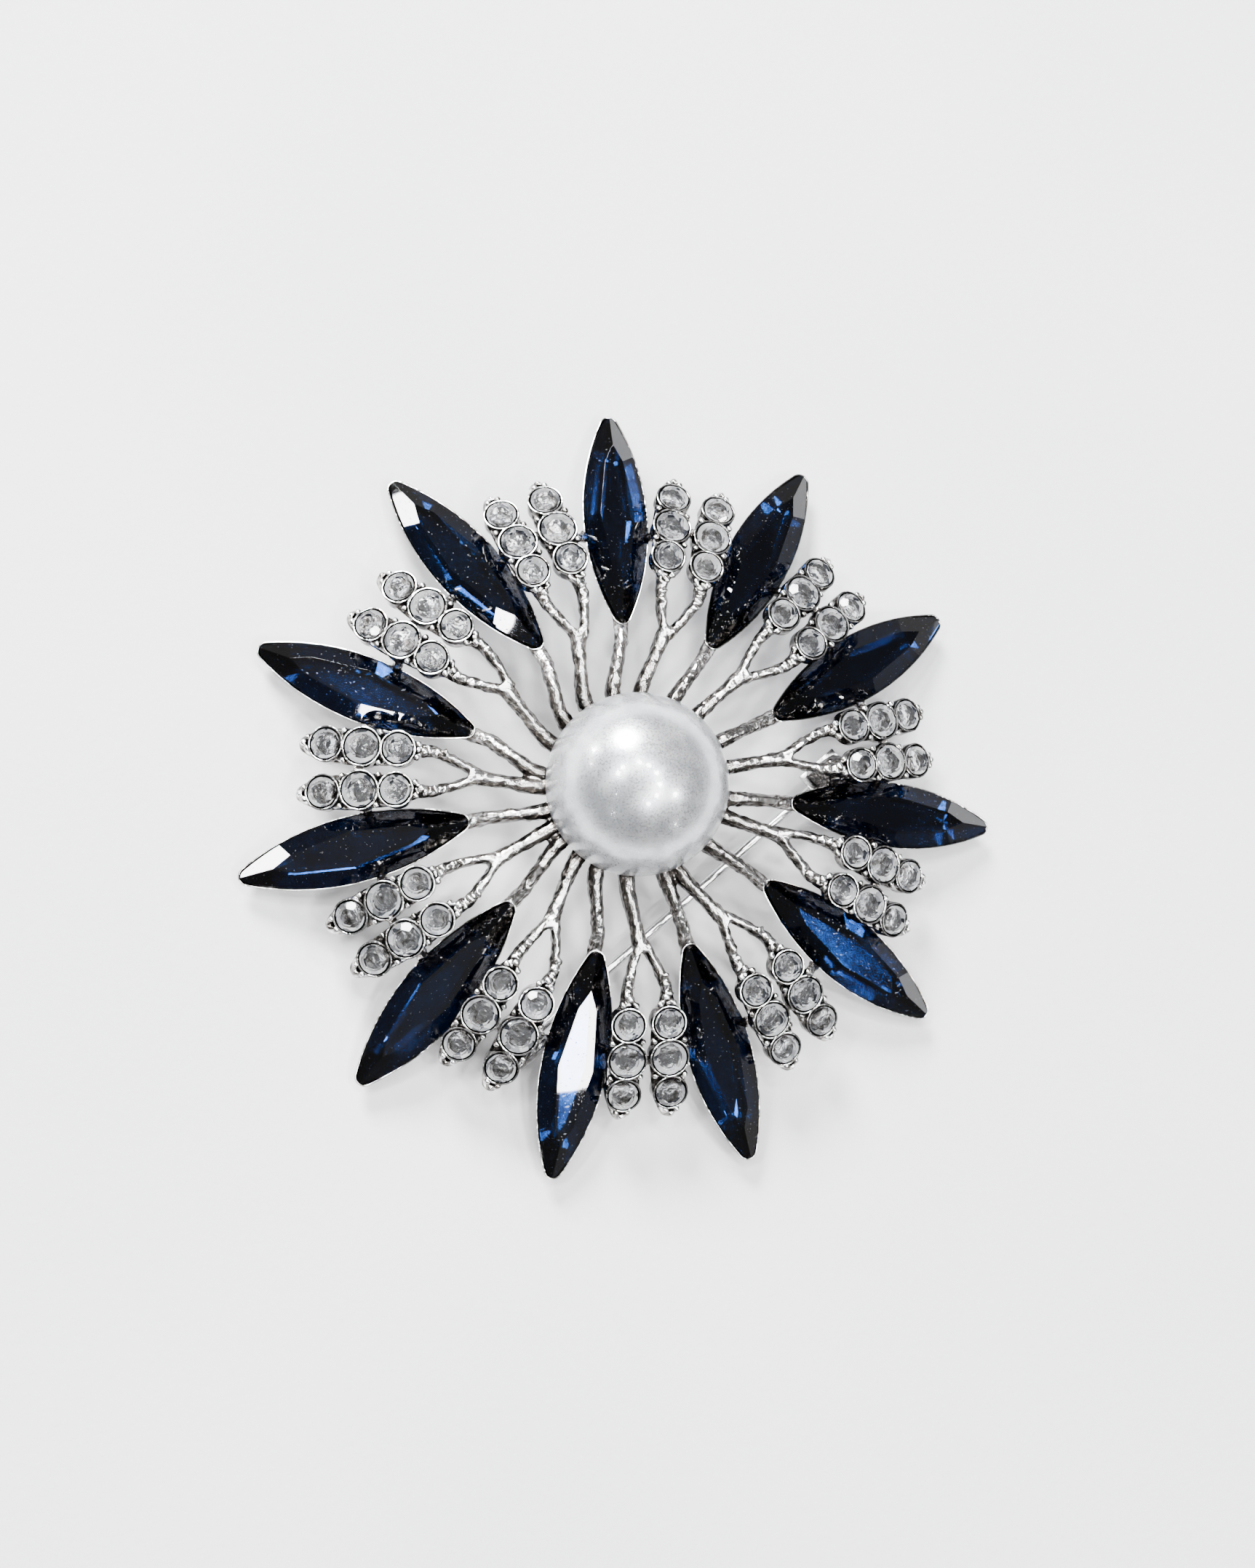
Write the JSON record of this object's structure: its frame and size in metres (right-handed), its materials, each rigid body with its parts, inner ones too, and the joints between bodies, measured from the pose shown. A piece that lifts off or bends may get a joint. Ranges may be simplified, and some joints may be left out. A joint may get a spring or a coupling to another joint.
{
  "type": "flower brooch",
  "caption": "Domed sunburst flower brooch with a central half pearl, long dark blue faceted stones, rows of small clear round stones and a hinged pin with a roll-over catch.",
  "frame": {"origin": "middle of the hub's flat back face, on the flower's axis behind the half pearl", "axes": "+Z out of the front of the flower through the pearl, +Y towards the first long stone, +X to the right seen from the front"},
  "size_m": [0.0515, 0.0513, 0.0135],
  "materials": {
    "plated_casting": "bright rhodium-coloured plating on a zinc casting, darker in its hollows",
    "pearl_lacquer": "glossy white pearl lacquer on a moulded half bead",
    "dark_blue_glass": "faceted and polished, foiled behind",
    "clear_crystal": "faceted and polished, foiled behind",
    "plated_findings": "bright plating",
    "pin_wire": "bright drawn spring wire"
  },
  "bodies": {
    "flower": {"cast_frame": "plated_casting", "pearl": "pearl_lacquer", "navette_01": "dark_blue_glass", "navette_02": "dark_blue_glass", "navette_03": "dark_blue_glass", "navette_04": "dark_blue_glass", "navette_05": "dark_blue_glass", "navette_06": "dark_blue_glass", "navette_07": "dark_blue_glass", "navette_08": "dark_blue_glass", "navette_09": "dark_blue_glass", "navette_10": "dark_blue_glass", "navette_11": "dark_blue_glass", "round_stones_01": "clear_crystal", "round_stones_02": "clear_crystal", "round_stones_03": "clear_crystal", "round_stones_04": "clear_crystal", "round_stones_05": "clear_crystal", "round_stones_06": "clear_crystal", "round_stones_07": "clear_crystal", "round_stones_08": "clear_crystal", "round_stones_09": "clear_crystal", "round_stones_10": "clear_crystal", "round_stones_11": "clear_crystal", "hinge_bracket": "plated_findings", "hinge_rivet": "plated_findings", "catch_body": "plated_findings"},
    "stem": {"pin_stem": "pin_wire"},
    "lock": {"catch_sleeve": "plated_findings"}
  },
  "joints": [
    {"name": "stem_hinge", "type": "hinge", "parent": "flower", "child": "stem", "pos_m": [0.01421, 0.00025, -0.00345], "axis": [0.6018, -0.7986, 0], "range_deg": [0, 70]},
    {"name": "catch_lock", "type": "hinge", "parent": "flower", "child": "lock", "pos_m": [-0.00791, -0.01642, -0.00345], "axis": [-0.7986, -0.6018, 0], "range_deg": [0, 90]}
  ]
}
